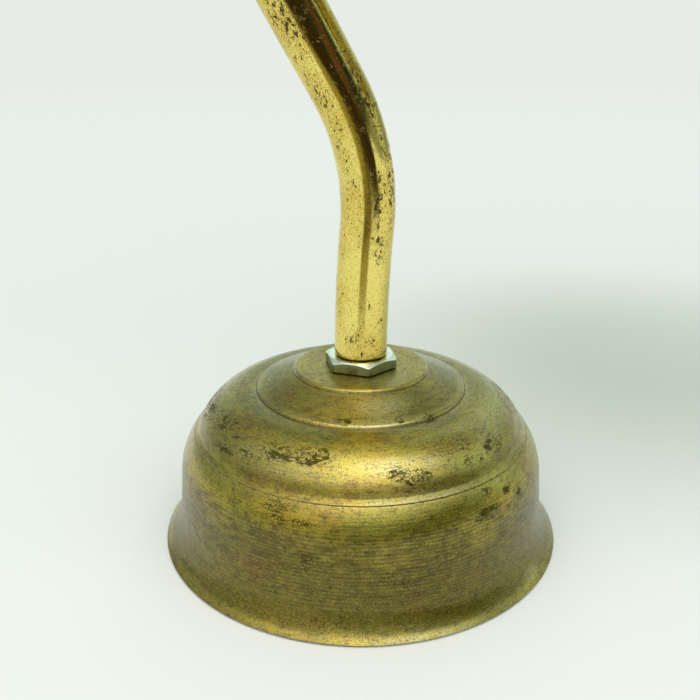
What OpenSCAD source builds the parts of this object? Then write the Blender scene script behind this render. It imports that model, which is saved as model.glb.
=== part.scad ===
// Gooseneck wall lamp in brass: a spun wall cup, a bent tube arm and a bell shade.
// Millimetres. The cup's axis is +Z and points away from the wall. The origin is the
// centre of the cup's rim, in the plane of the wall. Up the wall is -X.

/* [Wall cup] */
// Diameter of the flared rim, which meets the wall
rim_d = 100; // [97:0.5:112]
// Diameter where the flare runs into the cup's wall
foot_d = 91.6; // [91:0.2:94]
// Diameter at the top of the cup's wall
shoulder_d = 90; // [88:0.2:91]
// Diameter of the crease between the shoulder and the big roll
groove_d = 80.4; // [78:0.2:82]
// Diameter of the crease under the upper step
step_d = 51.4; // [47:0.2:56]
// Diameter of the crease under the crown
crown_d = 33; // [31:0.2:37]
// Height of the flare
flare_h = 9; // [8:0.2:11]
// Height of the wall above the flare
wall_h = 10.6; // [9:0.2:16]
// Height of the shoulder, up to its crease
shoulder_h = 10.3; // [9:0.1:12]
// Height of the big roll, up to the crease of the upper step
roll_h = 8.9; // [8:0.1:11]
// Height of the upper step, up to the crease of the crown
step_h = 4.6; // [4:0.2:6]
// Height of the crown above its crease
crown_h = 0.9; // [0.7:0.1:2]
// Thickness of the spun sheet
sheet = 0.8; // [0.5:0.1:1]

/* [Mounting bar] */
// Length of the bar over both feet
bar_l = 82; // [78:1:88]
// Width of the bar
bar_w = 16; // [14:0.5:20]
// Thickness of the bar
bar_t = 2; // [1.5:0.1:3]
// Height of the bar's raised middle above the wall
bar_rise = 22; // [21:0.5:24]
// Length of the raised middle
bar_top_l = 44; // [42:1:46]
// Distance between the two wall screws
slot_pitch = 60; // [56:1:66]
// Width of a wall screw slot
slot_w = 4.5; // [3.5:0.1:5.5]
// End-to-end length of a wall screw slot
slot_l = 10; // [7:0.5:12]

/* [Stem and nuts] */
// Thread diameter of the stem, the nuts and the tube ends
thread_d = 10; // [9:0.1:10.4]
// Bore of the stem and the head nipple
nipple_bore = 7; // [6.6:0.1:7.6]
// Length of thread that the arm takes at each end
thread_grip = 10; // [8:0.5:12]
// Hex size of the nuts, across the flats
nut_af = 16; // [14:0.5:18]
// Thickness of a nut
nut_h = 3; // [2.4:0.1:4]
// Thickness of the toothed washer
washer_t = 0.8; // [0.6:0.1:1.2]
// Length of the plastic bush on the stem's inner end
bush_l = 6; // [5:0.2:7]

/* [Terminals] */
// Length of the porcelain block across the bar
block_l = 30; // [28:0.5:34]
// Depth of the block along the bar
block_w = 16; // [14:0.5:17]
// Height of the block
block_h = 11; // [10:0.2:11.6]
// Outer diameter of a brass sleeve in the block
sleeve_d = 5.2; // [4.6:0.1:6]
// Diameter of a terminal screw
terminal_screw_d = 2.6; // [2.2:0.1:3]
// Diameter of the screw that holds the block, and of the earth screw
bar_screw_d = 3; // [2.5:0.1:4]

/* [Flex] */
// Diameter of the round flex
flex_d = 6.2; // [5.4:0.1:6.4]
// Diameter of one core of the flex
core_d = 2.2; // [1.8:0.1:2.4]
// Bend radius of a core at its middle
core_bend = 3.4; // [3:0.1:3.6]

/* [Arm] */
// Outer diameter of the arm's tube
tube_d = 13; // [12.6:0.1:16]
// Straight end that holds the stem's thread
socket_l = 12; // [12:0.5:16]
// Slight lean of the tube above its threaded end, in degrees
lean = 5; // [0.5:0.1:7]
// Radius of that lean's bend
lean_r = 60; // [40:5:90]
// Straight length up to the first bend
riser_l = 13.5; // [12:0.5:60]
// Radius of the first bend, at the tube's middle
bend_r = 55; // [35:1:70]
// Angle of the first bend, in degrees
bend_angle = 34.5; // [15:0.5:45]
// Straight length from the first bend to the neck
reach_l = 36; // [30:1:90]
// Radius of the neck's bend
neck_r = 50; // [40:1:70]
// Straight end that holds the lampholder
drop_l = 14; // [12:1:40]

/* [Lampholder] */
// Outer diameter of the holder's cap
cap_d = 41; // [40:0.5:48]
// Length of the cap from the nut to its open edge
cap_l = 40; // [39:0.5:46]
// Diameter of the cap's neck
cap_neck_d = 16; // [15:0.5:20]
// Length of the cap's neck
cap_neck_l = 5; // [5:0.2:7]
// Length of the cap's dome
cap_dome_l = 12; // [10:0.5:14]
// Length of the shell that carries the shade
shell_l = 35; // [32:0.5:40]
// Pitch of the thread on the shell
shell_pitch = 2.5; // [2:0.1:3]
// Length of the porcelain insert inside the cap
insert_l = 16; // [15.6:0.2:17]
// Length of the insert's nose inside the shell
nose_l = 6; // [5:0.2:7]
// Length of the threaded contact
contact_l = 18; // [14:0.5:20]
// Thickness of a shade ring
ring_t = 4.4; // [3:0.2:5]
// Width of a shade ring's band
ring_w = 6; // [4:0.2:7]

/* [Switch] */
// Diameter of the switch spindle
spindle_d = 4; // [3:0.1:5]
// Length of the key along the spindle
key_l = 15; // [12:0.5:22]
// Width of the key's paddle
key_w = 15; // [10:0.5:16]
// Thickness of the key's paddle
key_t = 4.2; // [3:0.1:5]

/* [Shade] */
// Diameter of the shade's mouth
mouth_d = 146; // [138:1:160]
// Diameter where the shade's flare begins
bell_d = 128; // [124:1:134]
// Diameter of the crease between the shade's two rolls
waist_d = 92; // [84:1:100]
// Diameter of the shade's flat collar
collar_d = 58; // [54:1:64]
// Height of the shade's upper roll
dome_h = 13; // [10:0.5:18]
// Height of the shade's lower roll
bell_h = 50; // [46:1:60]
// Height of the shade's flare
mouth_h = 15; // [12:0.5:22]

/* [Bulb] */
// Diameter of the bulb's threaded cap
bulb_cap_d = 26.2; // [25:0.1:27]
// Length of the bulb's threaded cap
bulb_cap_l = 20; // [17:0.5:24]
// Diameter of the bulb's globe
globe_d = 45; // [40:1:48]
// Length of the neck from the cap to the globe's middle
globe_rise = 28; // [26:0.5:30]
// Thickness of the bulb's glass
glass_t = 0.8; // [0.5:0.1:1.2]

/* [Hidden] */
$fn = 96;

// Clearances
fit = 0.05;
gap = 0.3;
ease = 0.2;
over = 1;

// Band over the joints of a bent rod
seam_l = 0.3;
seam_h = 0.02;

// Wall cup: ring heights, counted from the wall
wall_z = flare_h + wall_h;
groove_z = wall_z + shoulder_h;
step_z = groove_z + roll_h;
crown_z = step_z + step_h;
cup_h = crown_z + crown_h;
flare_bow = -0.95;
shoulder_bow = 1.05;
brow_w = 2.1;
brow_rise = 3.5;
brow_bow = 0.18;
roll_bow = 1.6;
bead_w = 0.9;
bead_rise = 1;
bead_bow = 0.27;

// Stack on the bar and the stem
bar_under = bar_rise - bar_t;
lower_nut_z = bar_under - washer_t - nut_h;
bush_lip = 1.5;
bush_wall = 2;
bush_z = lower_nut_z - ease - bush_l;
stem_z = bush_z + bush_lip;
arm_z = cup_h + nut_h + gap;
stem_top = arm_z + thread_grip;
nut_turn = 30;

// Cores and terminals
core_gap = 0.4;
core_spread = 1.6;
core_fan = 0.8;
pole_x = bar_w / 2 + core_gap + core_d / 2;
block_y = nut_af / 2 / cos(30) + core_gap;
pole_z = bar_rise + block_h / 2;
wire_bore = core_d + 2 * ease;
core_drop = 1;
block_mid_y = block_y + block_w / 2;
terminal_step = block_w / 2;
screw_head_d = 1.9 * bar_screw_d;
screw_head_h = 1.8;
tag_t = 0.8;
tag_d = screw_head_d + 2;
tag_barrel_d = core_d + 1.4;
earth_y = -(nut_af / 2 / cos(30) + tag_d / 2 + gap);
tag_barrel_x = bar_w / 2;
tag_barrel_z = bar_rise + tag_barrel_d / 2;

// Arm: each stretch is [straight length, bend radius, bend angle, roll before it]
tube_bore = thread_d + 2 * fit;
neck_turn = 90 + bend_angle - lean;
arm_bends = [
    [0, lean_r, -lean, 0],
    [riser_l, 0, 0, 0],
    [0, bend_r, bend_angle, 0],
    [reach_l, 0, 0, 0],
    [0, neck_r, -neck_turn, 0],
    [drop_l, 0, 0, 0]
];
arm_path = concat([[socket_l, 0, 0, 0]], arm_bends);

// Head: places along the lampholder's axis, counted from the end of the arm
cap_z = nut_h;
dome_z = cap_z + cap_neck_l;
band_z = dome_z + cap_dome_l;
cap_end = cap_z + cap_l;
cap_bow = 2.6;
insert_z = cap_end - 3 - insert_l;
shell_z = insert_z + insert_l;
face_z = shell_z + nose_l;
shell_end = shell_z + shell_l;
cap_inner_d = cap_d - 2 * sheet;
shell_d = cap_inner_d - 2 * ease;
shell_inner_d = shell_d - 2 * sheet;
thread_depth = 0.35;
lip_w = 3;
head_nipple_out = cap_z + cap_neck_l + 2;
flex_end = head_nipple_out + 2;
ring_bore = shell_d + 2 * fit;
ring_notches = 12;
ring_z = cap_end + 1;
shade_z = ring_z + ring_t;
liner_t = 0.9;
contact_bore = bulb_cap_d + 2 * gap;
contact_t = 0.5;
contact_foot = 2;
tongue_h = 2.4;
holder_pole_x = 9;
holder_pole_h = 4;
holder_screw_d = 2.5;
s_bend = 60;

// Switch: places along the spindle, counted from the lampholder's axis
switch_z = insert_z + insert_l / 2;
switch_bush_d = spindle_d + 4;
bush_flange_d = spindle_d + 9;
bush_flange_t = 2;
bush_nose = 1.2;
cam_d = 12;
cam_t = 4.5;
cam_in = 9;
pocket_in = cam_in - 0.6;
pocket_d = cam_d + 4 * gap;
bush_in = cam_in + cam_t + gap;
bush_out = cap_d / 2 + fit + bush_flange_t + bush_nose;
key_in = bush_out + gap;
key_hub_d = spindle_d + 5;
key_round = 4;

// Shade: its outline starts at the flat collar
shade_hole_d = shell_d + 4 * ease;
collar_run = 0.6;
dome_bow = 3.2;
bell_bow = 6;
mouth_bow = -1.8;

// Bulb: places along the lampholder's axis
tip_z = face_z + tongue_h + gap;
tip_h = 1.5;
vitrite_h = 3;
cap_sleeve_z = tip_z + tip_h + vitrite_h;
cap_sleeve_t = 0.5;
bulb_pitch = 3.6;
bulb_thread = 0.5;
neck_d = bulb_cap_d - 2 * (bulb_thread + cap_sleeve_t + ease);
neck_z = cap_sleeve_z + bulb_cap_l;
globe_z = neck_z + globe_rise;
neck_hold = 6;
stem_foot_t = 1;
stem_neck_d = 5;
filament_r = 7;
filament_d = 1.4;
filament_l = 18;
filament_z = globe_z - filament_l / 2;
wire_d = 0.8;

// Points from p to q on an arc that bulges by bow to the right of the way, moved to the left by t
function arc(p, q, bow, t = 0, n = 10) =
    let(
        chord = norm(q - p),
        side = [q[1] - p[1], p[0] - q[0]] / chord,
        s = sign(bow),
        r = (chord * chord / 4 + bow * bow) / (2 * abs(bow)),
        c = (p + q) / 2 + side * (bow - s * r),
        a = atan2(p[1] - c[1], p[0] - c[0]),
        sweep = s * 2 * asin(chord / 2 / r)
    )
    [for (i = [0 : n]) c + (r - s * t) * [cos(a + sweep * i / n), sin(a + sweep * i / n)]];

// Points from p to q on a straight line, moved to the left by t
function line(p, q, t = 0) =
    let(left = [p[1] - q[1], q[0] - p[0]] / norm(q - p))
    [p + left * t, q + left * t];

function reversed(list) = [for (i = [len(list) - 1 : -1 : 0]) list[i]];

// Moves to the end of one stretch of a path
module past(stretch) {
    s = sign(stretch[2]);
    rotate([0, 0, stretch[3]])
    translate([0, 0, stretch[0]])
    translate([-s * stretch[1], 0, 0])
    rotate([0, -stretch[2], 0])
    translate([s * stretch[1], 0, 0])
    children();
}

// Puts what follows at the end of a path
module at_end(path, i = 0) {
    if (i < len(path)) {
        past(path[i]) at_end(path, i + 1) children();
    } else {
        children();
    }
}

// A round rod along a path, which starts upwards and bends towards -X.
// A band a hair thicker than the rod lies over each joint between two stretches.
module rod(path, d, i = 0) {
    if (i < len(path)) {
        stretch = path[i];
        rotate([0, 0, stretch[3]])
        if (stretch[0] > 0) {
            cylinder(h = stretch[0], d = d);
        } else {
            rotate([0, 0, stretch[2] < 0 ? 180 : 0])
            translate([-stretch[1], 0, 0])
            rotate([90, 0, 0])
            rotate_extrude(angle = abs(stretch[2]))
            translate([stretch[1], 0])
            circle(d = d);
        }
        past(stretch) {
            if (i < len(path) - 1) {
                translate([0, 0, -seam_l]) cylinder(h = 2 * seam_l, d = d + 2 * seam_h);
            }
            rod(path, d, i + 1);
        }
    }
}

// A ring with a rectangular section
module ring(d, bore, h) {
    difference() {
        cylinder(h = h, d = d);
        translate([0, 0, -over]) cylinder(h = h + 2 * over, d = bore);
    }
}

// A hex nut with its upper face chamfered
module nut() {
    corner = nut_af / cos(30) / 2;
    face = nut_af / 2 * 0.97;
    bevel = (corner - face) * tan(30);
    difference() {
        intersection() {
            cylinder(h = nut_h, r = corner, $fn = 6);
            rotate_extrude()
            polygon([
                [0, 0], [corner, 0], [corner, nut_h - bevel], [face, nut_h], [0, nut_h]
            ]);
        }
        translate([0, 0, -over]) cylinder(h = nut_h + 2 * over, d = tube_bore);
    }
}

// A threaded nipple with chamfered ends
module nipple(length) {
    chamfer = 0.6;
    rotate_extrude()
    polygon([
        [nipple_bore / 2, 0], [thread_d / 2 - chamfer, 0], [thread_d / 2, chamfer],
        [thread_d / 2, length - chamfer], [thread_d / 2 - chamfer, length], [nipple_bore / 2, length]
    ]);
}

// A pan head screw whose seat is at z = 0 and whose shank points down
module pan_screw(d, head_d, head_h, length) {
    slot = 0.6;
    difference() {
        union() {
            cylinder(h = head_h, d1 = head_d, d2 = head_d * 0.8);
            translate([0, 0, -length]) cylinder(h = length + head_h / 2, d = d);
        }
        translate([-head_d, -slot / 2, head_h * 0.5]) cube([2 * head_d, slot, head_h]);
    }
}

// Everything on the head is drawn along +Z and then hung on the end of the arm
module on_head() {
    translate([0, 0, arm_z]) at_end(arm_path) children();
}

// What is on the switch is drawn along +Z, outwards from the lampholder's axis
module on_switch() {
    on_head() translate([0, 0, switch_z]) rotate([90, 0, 0]) children();
}

// Spun cup that covers the fixing on the wall
module wall_cup() {
    rim = [rim_d / 2, 0];
    foot = [foot_d / 2, flare_h];
    shoulder = [shoulder_d / 2, wall_z];
    groove = [groove_d / 2, groove_z];
    brow = groove + [-brow_w, brow_rise];
    step = [step_d / 2, step_z];
    step_top = step + [-bead_w, bead_rise];
    crown = [crown_d / 2, crown_z];
    crown_top = [crown_d / 2 - bead_w, cup_h];
    hole = tube_bore / 2 + ease;
    function skirt(t) = concat(
        arc(rim, foot, flare_bow, t),
        line(foot, shoulder, t),
        arc(shoulder, groove, shoulder_bow, t),
        arc(groove, brow, brow_bow, t, 5),
        arc(brow, step, roll_bow, t, 14)
    );
    beads = concat(
        arc(step, step_top, bead_bow, 0, 6),
        arc(crown, crown_top, bead_bow, 0, 6)
    );
    outside = concat(skirt(0), beads, [[hole, cup_h]]);
    under_crown = [[crown_top[0] - sheet / 2, cup_h - sheet], [hole, cup_h - sheet]];
    under_skirt = [for (p = skirt(sheet)) if (p[1] > 0) p];
    inside = concat(under_skirt, line(step_top, crown, sheet), under_crown);
    color("#8f7a3c")
    rotate_extrude()
    polygon(concat(outside, reversed(inside), [[rim_d / 2 - 1.5 * sheet, 0]]));
}

// Folded steel strap that is screwed to the wall and carries the stem
module mounting_bar() {
    half = bar_l / 2;
    top = bar_top_l / 2;
    color("#a9adb0")
    difference() {
        rotate([90, 0, 90])
        translate([0, 0, -bar_w / 2])
        linear_extrude(bar_w)
        polygon([
            [-half, 0], [-top + bar_t, 0], [-top + bar_t, bar_under], [top - bar_t, bar_under],
            [top - bar_t, 0], [half, 0], [half, bar_t], [top, bar_t], [top, bar_rise],
            [-top, bar_rise], [-top, bar_t], [-half, bar_t]
        ]);
        translate([0, 0, bar_under - over]) cylinder(h = bar_t + 2 * over, d = tube_bore);
        for (s = [-1, 1]) {
            for (e = [-1, 1]) {
                translate([0, s * slot_pitch / 2 + e * (slot_l - slot_w) / 2, -over])
                cylinder(h = bar_t + 2 * over, d = slot_w);
            }
            translate([-slot_w / 2, s * slot_pitch / 2 - (slot_l - slot_w) / 2, -over])
            cube([slot_w, slot_l - slot_w, bar_t + 2 * over]);
        }
        for (y = [block_mid_y, earth_y]) {
            translate([0, y, bar_under - over]) cylinder(h = bar_t + 2 * over, d = bar_screw_d + 2 * fit);
        }
    }
}

// Hollow threaded stem that clamps bar and cup together and carries the arm
module stem_nipple() {
    color("#b9a15a") translate([0, 0, stem_z]) nipple(stem_top - stem_z);
}

// Zinc nut on the crown: it holds the cup down and locks the arm
module clamp_nut() {
    color("#c3c8ca") translate([0, 0, cup_h]) rotate([0, 0, nut_turn]) nut();
}

// Pair of nuts that fix the stem to the bar
module bar_nuts() {
    color("#b4b9bb")
    for (z = [lower_nut_z, bar_rise]) {
        translate([0, 0, z]) rotate([0, 0, nut_turn]) nut();
    }
}

// Toothed washer under the bar
module tooth_washer() {
    teeth = 10;
    body_d = nut_af - 3;
    color("#8d9194")
    translate([0, 0, bar_under - washer_t])
    difference() {
        union() {
            cylinder(h = washer_t, d = body_d);
            for (i = [0 : teeth - 1]) {
                rotate([0, 0, i * 360 / teeth])
                translate([body_d / 2 - 0.5, -1, 0])
                cube([1.6, 2, washer_t]);
            }
        }
        translate([0, 0, -over]) cylinder(h = washer_t + 2 * over, d = tube_bore);
    }
}

// Plastic bush that keeps the stem's edge off the flex
module end_bush() {
    color("#e8e4d8")
    translate([0, 0, bush_z])
    difference() {
        cylinder(h = bush_l, d = thread_d + 2 * bush_wall);
        translate([0, 0, bush_lip]) cylinder(h = bush_l, d = thread_d + 2 * fit);
        translate([0, 0, -over]) cylinder(h = bush_l, d = nipple_bore);
    }
}

// Places of the terminal screws
module at_terminals() {
    for (x = [-pole_x, pole_x]) {
        for (s = [-1, 1]) {
            translate([x, block_mid_y + s * terminal_step / 2, pole_z]) children();
        }
    }
}

// Porcelain block with two poles, screwed on the bar
module terminal_block() {
    color("#f0ede4")
    difference() {
        translate([-block_l / 2, block_y, bar_rise]) cube([block_l, block_w, block_h]);
        for (x = [-pole_x, pole_x]) {
            translate([x, block_y - over, pole_z])
            rotate([-90, 0, 0])
            cylinder(h = block_w + 2 * over, d = sleeve_d + 2 * fit);
        }
        at_terminals() cylinder(h = block_h, d = 1.6 * terminal_screw_d);
        translate([0, block_mid_y, bar_rise - over]) cylinder(h = block_h, d = bar_screw_d + 2 * ease);
        translate([0, block_mid_y, bar_rise + block_h / 2]) cylinder(h = block_h, d = screw_head_d + 2 * gap);
    }
}

// Brass sleeves of the terminal block
module terminal_sleeves() {
    color("#c9a94f")
    for (x = [-pole_x, pole_x]) {
        difference() {
            translate([x, block_y, pole_z]) rotate([-90, 0, 0]) cylinder(h = block_w, d = sleeve_d);
            translate([x, block_y - over, pole_z])
            rotate([-90, 0, 0])
            cylinder(h = block_w + 2 * over, d = wire_bore);
            at_terminals() cylinder(h = block_h, d = terminal_screw_d + 2 * fit);
        }
    }
}

// Screws that hold the cores in the sleeves
module terminal_screws() {
    slot = 0.5;
    length = block_h / 2 - wire_bore / 2 - 1;
    color("#b98f3a")
    at_terminals()
    translate([0, 0, wire_bore / 2])
    difference() {
        cylinder(h = length, d = terminal_screw_d);
        translate([-terminal_screw_d, -slot / 2, length - 0.8]) cube([2 * terminal_screw_d, slot, over]);
    }
}

// Screw that holds the block on the bar
module block_screw() {
    color("#b4b9bb")
    translate([0, block_mid_y, bar_rise + block_h / 2])
    pan_screw(bar_screw_d, screw_head_d, screw_head_h, block_h / 2 + bar_t + 1);
}

// Earth screw on the other side of the bar
module earth_screw() {
    color("#c9a94f")
    translate([0, earth_y, bar_rise + tag_t])
    pan_screw(bar_screw_d, screw_head_d, screw_head_h, tag_t + bar_t + 1);
}

// Ring tag on the earth core
module earth_lug() {
    color("#c7ccce")
    difference() {
        union() {
            translate([0, earth_y, bar_rise]) cylinder(h = tag_t, d = tag_d);
            translate([0, earth_y - tag_barrel_d / 2, bar_rise])
            cube([tag_barrel_x, tag_barrel_d, tag_t]);
            translate([tag_d / 2, earth_y, tag_barrel_z])
            rotate([0, 90, 0])
            cylinder(h = tag_barrel_x - tag_d / 2, d = tag_barrel_d);
        }
        translate([0, earth_y, bar_rise - over]) cylinder(h = 3 * over, d = bar_screw_d + 2 * fit);
        translate([tag_d / 2 - over, earth_y, tag_barrel_z])
        rotate([0, 90, 0])
        cylinder(h = bar_w, d = core_d + 2 * fit);
    }
}

// Round flex inside the stem
module cup_flex() {
    color("#3a3a3c") translate([0, 0, bush_z]) cylinder(h = stem_top - bush_z, d = flex_d);
}

// Route of a core out of the stem: sideways at az, up beside the bar, and over it away from back
function core_path(az, run, rise, back, last) = [
    [core_drop, 0, 0, 0],
    [0, core_bend, 90, -(az + 180)],
    [run - 2 * core_bend, 0, 0, 0],
    [0, core_bend, 90, 0],
    [rise, 0, 0, 0],
    [0, core_bend, 90, back - az],
    [last, 0, 0, 0]
];

// Live and neutral cores to the block, and the earth core to its tag
module cup_cores() {
    low_z = bush_z - core_drop - core_bend;
    pole_rise = pole_z - low_z - 2 * core_bend;
    pole_run = block_y + block_w / 3 - core_bend - core_fan;
    color("#7a4a2b")
    for (az = [0, 180]) {
        translate([core_spread * cos(az), core_fan, bush_z])
        rotate([180, 0, 0])
        rod(core_path(az, pole_x - core_spread, pole_rise, -90, pole_run), core_d);
    }
    earth_from = [0, -core_spread];
    earth_to = [tag_barrel_x + core_bend + core_gap, earth_y];
    way = earth_to - earth_from;
    az = atan2(way[1], way[0]);
    earth_rise = tag_barrel_z - low_z - 2 * core_bend;
    color("#4f7f3a")
    translate([earth_from[0], earth_from[1], bush_z])
    rotate([180, 0, 0])
    rod(core_path(az, norm(way), earth_rise, 0, core_gap + (tag_barrel_x - tag_d / 2) * 0.8), core_d);
}

// Bent brass tube, threaded inside at both ends
module arm_tube() {
    color("#d9b650")
    translate([0, 0, arm_z])
    difference() {
        rod(arm_path, tube_d);
        rod(arm_path, tube_bore);
        translate([0, 0, -over]) cylinder(h = 2 * over, d = tube_bore);
        at_end(arm_path) translate([0, 0, -over]) cylinder(h = 2 * over, d = tube_bore);
    }
}

// Round flex inside the arm, from the stem to the lampholder
module arm_flex() {
    start = thread_grip + gap;
    color("#3a3a3c")
    translate([0, 0, arm_z + start])
    rod(concat([[socket_l - start, 0, 0, 0]], arm_bends, [[flex_end, 0, 0, 0]]), flex_d);
}

// Threaded nipple between the arm and the lampholder
module head_nipple() {
    color("#b9a15a")
    on_head() translate([0, 0, -thread_grip]) nipple(thread_grip + head_nipple_out);
}

// Nut that locks the lampholder on its nipple
module head_nut() {
    color("#c3c8ca") on_head() rotate([0, 0, nut_turn]) nut();
}

// Domed brass cap of the lampholder
module holder_cap() {
    neck = [cap_neck_d / 2, dome_z];
    band = [cap_d / 2, band_z];
    edge = [cap_d / 2, cap_end];
    inner = reversed(concat(arc(neck, band, cap_bow, sheet), [[cap_inner_d / 2, cap_end]]));
    color("#a88b42")
    difference() {
        on_head()
        rotate_extrude()
        polygon(concat(
            [[tube_bore / 2, cap_z], [cap_neck_d / 2, cap_z]],
            arc(neck, band, cap_bow),
            [edge],
            inner,
            [[tube_bore / 2, inner[len(inner) - 1][1]]]
        ));
        on_switch() translate([0, 0, cap_neck_d / 2]) cylinder(h = cap_d, d = switch_bush_d + 2 * fit);
        on_head() at_grub() translate([0, 0, -over]) cylinder(h = cap_neck_d, d = bar_screw_d + 2 * fit);
    }
}

// Place of the grub screw in the cap's neck
module at_grub() {
    translate([0, tube_bore / 2, cap_z + cap_neck_l / 2]) rotate([-90, 0, 0]) children();
}

// Grub screw that stops the cap turning on its nipple
module grub_screw() {
    slot = 0.6;
    length = (cap_neck_d - tube_bore) / 2;
    color("#9b9fa2")
    on_head()
    at_grub()
    difference() {
        cylinder(h = length, d = bar_screw_d);
        translate([-bar_screw_d, -slot / 2, length - 0.8]) cube([2 * bar_screw_d, slot, over]);
    }
}

// Porcelain insert with the switch chamber and the seat of the contacts
module holder_insert() {
    color("#f0ede4")
    difference() {
        on_head()
        union() {
            translate([0, 0, insert_z]) cylinder(h = insert_l, d = cap_inner_d - 2 * gap);
            translate([0, 0, shell_z - over]) cylinder(h = nose_l + over, d = shell_inner_d - 2 * gap);
        }
        on_switch() translate([0, 0, pocket_in]) cylinder(h = cap_d, d = pocket_d);
        on_head() at_holder_poles() translate([0, 0, -over]) cylinder(h = holder_pole_h, d = holder_screw_d);
    }
}

// Places of the holder's two terminals, on top of the insert
module at_holder_poles() {
    for (x = [-holder_pole_x, holder_pole_x]) {
        translate([x, 0, insert_z]) children();
    }
}

// Brass terminals on the insert
module holder_terminals() {
    side = 5.5;
    color("#c9a94f")
    on_head()
    at_holder_poles()
    translate([-side / 2, -side / 2, -holder_pole_h])
    difference() {
        cube([side, side, holder_pole_h]);
        translate([side / 2, side / 2, -over]) cylinder(h = holder_pole_h, d = core_d + 2 * fit);
    }
}

// Two cores from the flex to the holder's terminals
module holder_cores() {
    side_step = holder_pole_x - core_spread;
    slant = (side_step - 2 * core_bend * (1 - cos(s_bend))) / sin(s_bend);
    fall = 2 * core_bend * sin(s_bend) + slant * cos(s_bend);
    last = insert_z - over - flex_end - fall;
    color("#7a4a2b")
    on_head()
    for (turn = [0, 180]) {
        rotate([0, 0, turn])
        translate([-core_spread, 0, flex_end])
        rod([[0, core_bend, s_bend, 0], [slant, 0, 0, 0], [0, core_bend, -s_bend, 0], [last, 0, 0, 0]], core_d);
    }
}

// Contact that takes the bulb's thread
module screw_contact() {
    bore = contact_bore / 2;
    color("#c9a94f")
    on_head()
    rotate_extrude()
    polygon([
        [bore, face_z], [bore + contact_foot, face_z], [bore + contact_foot, face_z + contact_t],
        [bore + contact_t, face_z + contact_t], [bore + contact_t, face_z + contact_l],
        [bore, face_z + contact_l]
    ]);
}

// Springy contact in the middle of the holder
module centre_contact() {
    color("#c98f4f")
    on_head()
    translate([0, 0, face_z])
    cylinder(h = tongue_h, d1 = 9, d2 = 5);
}

// Fibre sleeve between the live contact and the shell
module insulating_liner() {
    outer = shell_inner_d - 2 * ease;
    color("#b5542f")
    on_head()
    translate([0, 0, face_z])
    ring(outer, outer - 2 * liner_t, shell_end - face_z - sheet - ease);
}

// Threaded shell that carries the shade, with a rolled lip at its mouth
module holder_shell() {
    turns = floor((shell_end - shade_z) / shell_pitch) - 1;
    crest = shell_d / 2;
    first = shell_end - (turns + 0.5) * shell_pitch;
    thread = [
        for (i = [0 : turns - 1])
        for (p = [[crest, 0], [crest - thread_depth, 0.5]])
        [p[0], first + (i + p[1]) * shell_pitch]
    ];
    color("#a88b42")
    on_head()
    rotate_extrude()
    polygon(concat(
        [[shell_inner_d / 2, shell_z], [crest, shell_z]],
        thread,
        [
            [crest, shell_end - sheet], [crest - thread_depth, shell_end], [crest - lip_w, shell_end],
            [crest - lip_w, shell_end - sheet], [shell_inner_d / 2, shell_end - sheet]
        ]
    ));
}

// Ring with finger notches that runs on the shell's thread
module shade_ring() {
    outer = ring_bore + 2 * ring_w;
    notch_d = 4;
    color("#2c2522")
    difference() {
        ring(outer, ring_bore, ring_t);
        for (i = [0 : ring_notches - 1]) {
            rotate([0, 0, i * 360 / ring_notches])
            translate([outer / 2 + notch_d * 0.2, 0, -over])
            cylinder(h = ring_t + 2 * over, d = notch_d);
        }
    }
}

// Ring above the shade's collar
module upper_shade_ring() {
    on_head() translate([0, 0, ring_z]) shade_ring();
}

// Ring below the shade's collar
module lower_shade_ring() {
    on_head() translate([0, 0, shade_z + sheet]) shade_ring();
}

// Spun bell shade, stepped like the wall cup
module shade() {
    hole = [shade_hole_d / 2, shade_z];
    collar = [collar_d / 2, shade_z];
    dome = collar + [collar_run, collar_run];
    waist = [waist_d / 2, shade_z + dome_h];
    bell = [bell_d / 2, shade_z + dome_h + bell_h];
    mouth = [mouth_d / 2, shade_z + dome_h + bell_h + mouth_h];
    function side(t) = concat(
        line(hole, collar, t),
        arc(dome, waist, dome_bow, t),
        arc(waist, bell, bell_bow, t, 16),
        arc(bell, mouth, mouth_bow, t)
    );
    color("#8f7a3c")
    on_head()
    rotate_extrude()
    polygon(concat(side(0), reversed(side(sheet))));
}

// Brass bush that guides the switch spindle through the cap
module switch_bush() {
    color("#c9a94f")
    on_switch()
    difference() {
        union() {
            translate([0, 0, bush_in]) cylinder(h = bush_out - bush_in, d = switch_bush_d);
            translate([0, 0, cap_d / 2 + fit]) cylinder(h = bush_flange_t, d = bush_flange_d);
        }
        cylinder(h = cap_d, d = spindle_d + 2 * fit);
    }
}

// Spindle of the rotary switch
module switch_spindle() {
    color("#b4b9bb")
    on_switch() translate([0, 0, cam_in]) cylinder(h = key_in + key_l * 0.6 - cam_in, d = spindle_d);
}

// Four-sided cam that makes and breaks the contact each quarter turn
module switch_cam() {
    color("#d8cfa8")
    on_switch()
    translate([0, 0, cam_in])
    difference() {
        cylinder(h = cam_t, d = cam_d);
        for (a = [0 : 90 : 270]) {
            rotate([0, 0, a]) translate([cam_d * 0.55, 0, -over]) cylinder(h = cam_t + 2 * over, d = cam_d * 0.4);
        }
        translate([0, 0, -over]) cylinder(h = cam_t + 2 * over, d = spindle_d + 2 * fit);
    }
}

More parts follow.
